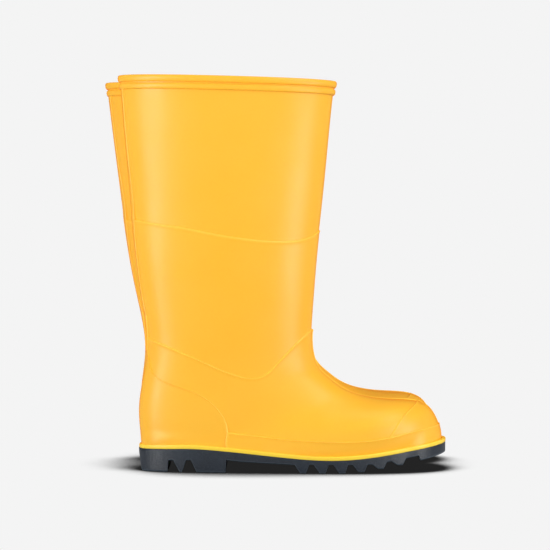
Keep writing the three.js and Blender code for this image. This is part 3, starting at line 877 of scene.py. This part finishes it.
def noise(tree, place, size, detail=2.0, stretch=None):
    """A value of about 0 to 1 that changes over lengths of the given size in metres."""
    if stretch:
        place = node(tree, "VectorMath", {0: place, 1: stretch}, operation="MULTIPLY").outputs[0]
    return node(tree, "TexNoise", {"Vector": place, "Scale": 1 / size, "Detail": detail}).outputs["Fac"]


def fit(tree, value, low, high, to_low=0.0, to_high=1.0, smooth=False):
    """value taken from low..high to to_low..to_high, and kept in that range."""
    inputs = {"Value": value, "From Min": low, "From Max": high, "To Min": to_low, "To Max": to_high}
    kind = "SMOOTHSTEP" if smooth else "LINEAR"
    return node(tree, "MapRange", inputs, interpolation_type=kind).outputs["Result"]


def mix(tree, share, first, second):
    """The first colour at share 0, the second at share 1."""
    made = node(tree, "Mix", {"Factor": share}, data_type="RGBA")
    sockets = [socket for socket in made.inputs if socket.type == "RGBA"]
    for socket, value in zip(sockets, (first, second)):
        if isinstance(value, bpy.types.NodeSocket):
            tree.links.new(value, socket)
        else:
            socket.default_value = (*value, 1.0)
    return next(socket for socket in made.outputs if socket.type == "RGBA")


def combine(tree, first, second, operation="ADD"):
    """One value from two, their sum unless another operation is named."""
    return node(tree, "Math", {0: first, 1: second}, operation=operation).outputs[0]


def bumps(tree, layers):
    """Bump layers of (height, strength, depth in metres), one over the other."""
    normal = None
    for height, strength, depth in layers:
        inputs = {"Height": height, "Strength": strength, "Distance": depth}
        if normal:
            inputs["Normal"] = normal
        normal = node(tree, "Bump", inputs).outputs["Normal"]
    return normal


PAINTED_LIGHT_COLOUR = (1.0, 0.58, 0.07)  # colour of the painted highlight and the painted glow along its seams
PAINTED_GLOW = 0.13  # strength of the glow painted along its seams, standing in for a highlight
# face is the rubber's colour and cloud a paler mottle. turned is a deeper orange used for random specks and
# as painted shade where the surface turns from the camera.
UPPER_YELLOW = {"face": (0.97, 0.485, 0.022), "turned": (1.0, 0.325, 0.002), "cloud": (0.98, 0.515, 0.035)}
WELT_YELLOW = {"face": (1.0, 0.68, 0.045), "turned": (1.0, 0.52, 0.012), "cloud": (1.0, 0.70, 0.06)}


def moulded_rubber(name, colours, roughness):
    """Moulded rubber with painted shade, a deeper orange towards the silhouette, faintly mottled, with a
    painted highlight and a painted glow along its seams, a fine orange-peel skin, hairline scuffs and a
    duller bloom in patches."""
    material, tree, place = new_material(name)
    turned = node(tree, "LayerWeight", {"Blend": 0.5}).outputs["Facing"]
    painted_edge_shade = fit(tree, turned, 0.66, 0.95, smooth=True)
    clouds = noise(tree, place, 0.055, 3.0)
    specks = noise(tree, place, 0.0011, 2.0)
    base = mix(tree, fit(tree, clouds, 0.35, 0.7, 0.0, 0.5), colours["face"], colours["cloud"])
    base = mix(tree, fit(tree, specks, 0.3, 0.75, 0.0, 0.12), base, colours["turned"])
    # Painted shade: the colour deepens to turned towards the silhouette.
    base = mix(tree, combine(tree, painted_edge_shade, 0.95, "MULTIPLY"), base, colours["turned"])
    # Painted highlight: where pale is set, a paler colour is mixed in along the seams.
    painted_seam_light = node(tree, "Attribute", attribute_name="pale").outputs["Fac"]
    base = mix(tree, combine(tree, painted_seam_light, 0.6, "MULTIPLY"), base, PAINTED_LIGHT_COLOUR)
    scuff = fit(tree, noise(tree, place, 0.004, 4.0, (0.25, 0.25, 1.0)), 0.62, 0.72)
    bloom = noise(tree, place, 0.02, 4.0)
    rough = fit(tree, bloom, 0.3, 0.7, roughness - 0.03, roughness + 0.05)
    rough = combine(tree, rough, combine(tree, scuff, 0.1, "MULTIPLY"))
    skin = noise(tree, place, 0.0016, 3.0)
    ripple = noise(tree, place, 0.016, 2.0)
    normal = bumps(tree, [(ripple, 0.1, 0.001), (skin, 0.1, 0.0002), (scuff, 0.06, 0.0002)])
    finish_material(
        tree,
        Base_Color=base,
        Roughness=rough,
        Normal=normal,
        IOR=1.5,
        Specular_IOR_Level=fit(tree, turned, 0.55, 0.9, 0.5, 0.02),
        # Painted glow: the seams give off a little light, standing in for a highlight.
        Emission_Color=(*PAINTED_LIGHT_COLOUR, 1.0),
        Emission_Strength=combine(tree, painted_seam_light, PAINTED_GLOW, "MULTIPLY"),
        Subsurface_Weight=0.06,
        Subsurface_Radius=(1.0, 0.35, 0.08),
        Subsurface_Scale=0.003,
    )
    return material


def sole_rubber(name):
    """Dark sole rubber with a sandy moulded grain that glints, paler along its rounded lower side edges."""
    material, tree, place = new_material(name)
    grain = noise(tree, place, 0.0009, 3.0)
    clouds = noise(tree, place, 0.02, 3.0)
    glint = fit(tree, noise(tree, place, 0.00055, 1.0), 0.62, 0.74)
    base = mix(tree, fit(tree, clouds, 0.3, 0.7), (0.006, 0.0115, 0.022), (0.010, 0.018, 0.032))
    base = mix(tree, fit(tree, grain, 0.45, 0.75, 0.0, 0.5), base, (0.026, 0.040, 0.056))
    base = mix(tree, combine(tree, glint, 0.35, "MULTIPLY"), base, (0.16, 0.19, 0.22))
    paler_edges = node(tree, "Attribute", attribute_name="pale").outputs["Fac"]
    # The rounded lower side edges are drawn paler.
    base = mix(tree, combine(tree, paler_edges, 0.45, "MULTIPLY"), base, (0.10, 0.13, 0.16))
    rough = fit(tree, grain, 0.3, 0.7, 0.34, 0.52)
    normal = bumps(tree, [(clouds, 0.1, 0.001), (grain, 0.6, 0.0003)])
    finish_material(tree, Base_Color=base, Roughness=rough, Normal=normal, IOR=1.5, Specular_IOR_Level=0.8)
    return material


def knitted_textile(name, colour, dark, stitch):
    """Rows of knitted stitches, stitch metres apart."""
    material, tree, place = new_material(name)
    split = node(tree, "SeparateXYZ", {"Vector": place})
    wale = combine(tree, split.outputs["X"], 2 * math.pi / stitch, "MULTIPLY")
    course = combine(tree, split.outputs["Z"], 3 * math.pi / stitch, "MULTIPLY")
    side = combine(tree, split.outputs["Y"], 2 * math.pi / stitch, "MULTIPLY")
    ribs = combine(tree, wale, side)
    bent = combine(tree, course, node(tree, "Math", {0: ribs}, operation="SINE").outputs[0])
    loops = node(tree, "Math", {0: bent}, operation="SINE").outputs[0]
    columns = node(tree, "Math", {0: ribs}, operation="COSINE").outputs[0]
    height = fit(tree, combine(tree, loops, columns), -2.0, 2.0)
    fluff = noise(tree, place, 0.0006, 3.0)
    # Painted shade: the stitches' hollows take the darker colour, their crests the lighter one.
    tone = mix(tree, fit(tree, height, 0.1, 0.8), dark, colour)
    tone = mix(tree, fit(tree, noise(tree, place, 0.03), 0.3, 0.7, 0.0, 0.35), tone, dark)
    normal = bumps(tree, [(height, 0.5, 0.0005), (fluff, 0.3, 0.0002)])
    finish_material(tree, Base_Color=tone, Roughness=0.9, Normal=normal, Sheen_Weight=0.3)
    return material


def fibre_board(name):
    """Pressed insole board with short fibres."""
    material, tree, place = new_material(name)
    fibres = noise(tree, place, 0.0012, 5.0, (1.0, 0.2, 1.0))
    tone = mix(tree, fit(tree, fibres, 0.3, 0.7), (0.33, 0.24, 0.15), (0.52, 0.41, 0.28))
    finish_material(tree, Base_Color=tone, Roughness=0.85, Normal=bumps(tree, [(fibres, 0.4, 0.0002)]))
    return material


def brushed_steel(name):
    """Spring steel strip with rolling marks along it and light tarnish."""
    material, tree, place = new_material(name)
    marks = noise(tree, place, 0.0006, 4.0, (0.03, 1.0, 1.0))
    tarnish = noise(tree, place, 0.01, 4.0)
    tone = mix(tree, fit(tree, tarnish, 0.4, 0.7), (0.5, 0.51, 0.52), (0.36, 0.33, 0.3))
    rough = fit(tree, marks, 0.3, 0.7, 0.28, 0.45)
    finish_material(
        tree, Base_Color=tone, Metallic=1.0, Roughness=rough, Normal=bumps(tree, [(marks, 0.2, 0.0001)])
    )
    return material


# ---- Putting the pair together ----

materials = {
    "upper_rubber": moulded_rubber("upper_rubber", UPPER_YELLOW, 0.39),
    "welt_rubber": moulded_rubber("welt_rubber", WELT_YELLOW, 0.36),
    "sole_rubber": sole_rubber("sole_rubber"),
    "lining_textile": knitted_textile("lining_textile", (0.62, 0.60, 0.55), (0.36, 0.34, 0.31), 0.0016),
    "footbed_foam": knitted_textile("footbed_foam", (0.20, 0.21, 0.23), (0.08, 0.08, 0.09), 0.0022),
    "insole_board": fibre_board("insole_board"),
    "shank_steel": brushed_steel("shank_steel"),
}


def build_boot(boot):
    """All the pieces of one boot. The board and the shank stay as the CAD has them, with a finish."""
    lines = upper_lines(boot)
    for make in (make_rings, make_back, make_toe_cap, make_foxing, make_lining):
        make(boot, lines)
    for make in (make_binding, make_welt, make_outsole, make_insole):
        make(boot)
    for part, slot in (("insole_board", "insole_board"), ("shank", "shank_steel")):
        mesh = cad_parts[f"{boot.name}_{part}"].data
        mesh.materials.clear()
        mesh.materials.append(materials[slot])


for name, side, lean in (("right", -1, 0.0), ("left", 1, LEFT_LEG_LEAN)):
    build_boot(Boot(name, side, lean))

# ---- Floor, light and camera ----

BACKDROP = 0.905  # the even pale grey behind and under the boots
CAMERA_HEIGHT = 0.1991
CAMERA_ALONG = 118.6  # where it looks at the near boot, in millimetres of its side view
CAMERA_DISTANCE = 2.1  # from the middle of the near boot
VIEW_WIDTH = 0.4796  # of the picture, at the near boot
FRAME_SHIFT = -0.0636  # of the picture, as a share of its width
CONTACT_REACH, SHADOW_REACH = 0.11, 0.3  # how far the floor looks for what darkens it
SHADOW_LEAN = Vector((0, 1, 0.02)).normalized()  # the way it looks, so shadows fall to the camera
CLOSE_RANGE, WIDE_RANGE = (0.54, 0.82), (0.45, 0.7)  # how open it is where darkest and where lightest
SHADOW_POWER = 1.3
DARKEST = 0.018  # the floor under a sole
FLOOR_LIGHT = 0.45  # the share of its brightness that lights the boots
FILL = 1.06  # strength of the even light from the front and back
FILL_ABOVE, FILL_SIDES = 0.22, 1.5  # times that from straight above and from the sides
REFLECTED = 0.1  # what reflections see of it
AIM_HEIGHT = 0.19  # the lights are aimed at this height over the frame's origin
# Each light's turn in degrees from the camera's side to the right, distance, height above the point
# it is aimed at, width and length, and power.
SOFT_BOXES = {
    "left_box": (-56, 0.75, -0.06, (0.17, 0.34), 1.3),
    "right_box": (50, 0.75, -0.06, (0.29, 0.34), 1.9),
    "front_box": (42, 0.7, 0.65, (0.3, 0.6), 2.4),
    "key_box": (-46, 0.9, 0.26, (0.14, 0.14), 2.0),
    "top_box": (0, 0.1, 1.1, (0.7, 0.35), 1.7),
}


def make_floor():
    """An even pale floor that darkens only where the boots keep the light off it."""
    mesh = bpy.data.meshes.new("floor")
    mesh.from_pydata([(-9, -9, 0), (9, -9, 0), (9, 9, 0), (-9, 9, 0)], [], [(0, 1, 2, 3)])
    floor = bpy.data.objects.new("floor", mesh)
    bpy.context.scene.collection.objects.link(floor)
    material, tree, _ = new_material("floor")
    open_parts = []
    for reach, limits in ((CONTACT_REACH, CLOSE_RANGE), (SHADOW_REACH, WIDE_RANGE)):
        inputs = {"Distance": reach, "Normal": SHADOW_LEAN}
        openness = node(tree, "AmbientOcclusion", inputs, samples=24).outputs["AO"]
        open_parts.append(fit(tree, openness, *limits))
    light = combine(tree, *open_parts, "MULTIPLY")
    light = combine(tree, light, SHADOW_POWER, "POWER")
    light = fit(tree, light, 0.0, 1.0, DARKEST, BACKDROP)
    seen = node(tree, "LightPath").outputs["Is Camera Ray"]
    strength = fit(tree, seen, 0.0, 1.0, FLOOR_LIGHT, 1.0)
    grey = node(tree, "CombineColor", {"Red": light, "Green": light, "Blue": light}).outputs["Color"]
    glow = node(tree, "Emission", {"Color": grey, "Strength": strength})
    node(tree, "OutputMaterial", {"Surface": glow.outputs["Emission"]})
    mesh.materials.append(material)


def make_world():
    """The backdrop's grey to the camera, and an even light on the boots."""
    world = bpy.data.worlds.new("studio")
    bpy.context.scene.world = world
    world.use_nodes = True
    tree = world.node_tree
    tree.nodes.clear()
    path = node(tree, "LightPath").outputs
    way = node(tree, "SeparateXYZ", {"Vector": node(tree, "TexCoord").outputs["Generated"]}).outputs
    fill = fit(tree, way["Z"], 0.0, 0.8, FILL, FILL * FILL_ABOVE)
    aside = combine(tree, way["X"], way["X"], "MULTIPLY")
    fill = combine(tree, fill, fit(tree, aside, 0.0, 1.0, 1.0, FILL_SIDES), "MULTIPLY")
    strength = fill
    for ray, seen in (("Is Glossy Ray", REFLECTED), ("Is Camera Ray", BACKDROP)):
        strength = node(tree, "Mix", {"Factor": path[ray], "A": strength, "B": seen}).outputs["Result"]
    glow = node(tree, "Background", {"Color": (1, 1, 1, 1), "Strength": strength})
    node(tree, "OutputWorld", {"Surface": glow.outputs["Background"]})


def soft_box(name, turn, distance, height, size, power):
    """A rectangular light aimed at the boots, placed as SOFT_BOXES says. The camera doesn't see it."""
    light = bpy.data.lights.new(name, "AREA")
    light.shape = "RECTANGLE"
    light.size, light.size_y = size
    light.energy = power
    lamp = bpy.data.objects.new(name, light)
    lamp.visible_camera = False
    bpy.context.scene.collection.objects.link(lamp)
    angle = math.radians(turn)
    aim = Vector((0, 0, AIM_HEIGHT))
    lamp.location = aim + Vector((math.sin(angle) * distance, -math.cos(angle) * distance, height))
    lamp.rotation_euler = (aim - lamp.location).to_track_quat("-Z", "Y").to_euler()


def make_camera():
    """A long lens, level with the middle of the legs and square to the near boot's side."""
    data = bpy.data.cameras.new("camera")
    data.sensor_width = 36.0
    data.lens = 36.0 * CAMERA_DISTANCE / VIEW_WIDTH
    data.shift_y = FRAME_SHIFT
    camera = bpy.data.objects.new("camera", data)
    bpy.context.scene.collection.objects.link(camera)
    low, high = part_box("right_shank")
    along = low.x + (CAMERA_ALONG - SHANK_START) * MM
    camera.location = (along, (low.y + high.y) / 2 - CAMERA_DISTANCE, CAMERA_HEIGHT)
    camera.rotation_euler = (math.radians(90), 0, 0)
    bpy.context.scene.camera = camera


make_floor()
make_world()
for name, settings in SOFT_BOXES.items():
    soft_box(name, *settings)
make_camera()
bpy.context.scene.view_settings.view_transform = "Standard"
